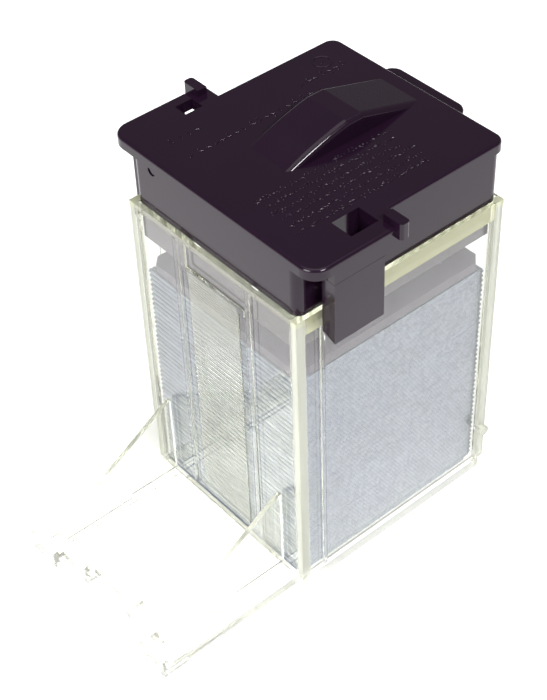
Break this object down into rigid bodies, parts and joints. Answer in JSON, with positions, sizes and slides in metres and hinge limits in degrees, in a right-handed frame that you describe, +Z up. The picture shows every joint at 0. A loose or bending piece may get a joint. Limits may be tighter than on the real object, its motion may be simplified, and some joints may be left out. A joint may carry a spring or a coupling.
{
  "type": "staple refill cartridge",
  "caption": "Clear staple refill cartridge for an electric stapler: black lift-off cap with two legs, sprung pressure plate, stacked wire sheets and a pull-off tray.",
  "frame": {"origin": "middle of the case's underside", "axes": "+Z up through the cap; -Y is the front, where a sheet leaves the case; +X is the right-hand leg"},
  "size_m": [0.0414, 0.0625, 0.0626],
  "materials": {
    "clear_polystyrene": "clear polished moulding",
    "black_abs": "semi-gloss moulding",
    "dark_acetal": "satin moulding",
    "spring_steel": "drawn wire",
    "staple_wire": "galvanised wire, glued side by side"
  },
  "bodies": {
    "case_body": {"case": "clear_polystyrene", "staple_sheets_01": "staple_wire", "staple_sheets_02": "staple_wire", "staple_sheets_03": "staple_wire", "staple_sheets_04": "staple_wire", "staple_sheets_05": "staple_wire", "staple_sheets_06": "staple_wire", "staple_sheets_07": "staple_wire", "staple_sheets_08": "staple_wire", "staple_sheets_09": "staple_wire", "staple_sheets_10": "staple_wire", "staple_sheets_11": "staple_wire", "staple_sheets_12": "staple_wire", "staple_sheets_13": "staple_wire", "staple_sheets_14": "staple_wire", "staple_sheets_15": "staple_wire", "staple_sheets_16": "staple_wire", "staple_sheets_17": "staple_wire"},
    "cap_body": {"cap": "black_abs", "pressure_spring": "spring_steel"},
    "leg_right_body": {"leg_right": "black_abs"},
    "leg_left_body": {"leg_left": "black_abs"},
    "plate_body": {"pressure_plate": "dark_acetal"},
    "lead_sheet_body": {"lead_sheet": "staple_wire"},
    "tray_body": {"shipping_tray": "clear_polystyrene"}
  },
  "joints": [
    {"name": "cap_lift", "type": "slide", "parent": "case_body", "child": "cap_body", "axis": [0, 0, 1], "range_m": [0, 0.016]},
    {"name": "leg_right_flex", "type": "hinge", "parent": "cap_body", "child": "leg_right_body", "pos_m": [0.01974, -0.01045, 0.0564], "axis": [0, -1, 0], "range_deg": [0, 5], "stiffness_Nm_per_rad": 0.02},
    {"name": "leg_left_flex", "type": "hinge", "parent": "cap_body", "child": "leg_left_body", "pos_m": [-0.01974, -0.01045, 0.0564], "axis": [0, 1, 0], "range_deg": [0, 5], "stiffness_Nm_per_rad": 0.02},
    {"name": "plate_press", "type": "slide", "parent": "cap_body", "child": "plate_body", "axis": [0, 0, -1], "range_m": [0, 0.034], "deforming": ["staple_sheets_01", "staple_sheets_02", "staple_sheets_03", "staple_sheets_04", "staple_sheets_05", "staple_sheets_06", "staple_sheets_07", "staple_sheets_08", "staple_sheets_09", "staple_sheets_10", "staple_sheets_11", "staple_sheets_12", "staple_sheets_13", "staple_sheets_14", "staple_sheets_15", "staple_sheets_16", "staple_sheets_17", "pressure_spring"]},
    {"name": "sheet_feed", "type": "slide", "parent": "case_body", "child": "lead_sheet_body", "axis": [0, -1, 0], "range_m": [0, 0.0086]},
    {"name": "tray_pull", "type": "slide", "parent": "case_body", "child": "tray_body", "axis": [0, -1, 0], "range_m": [0, 0.018]}
  ]
}
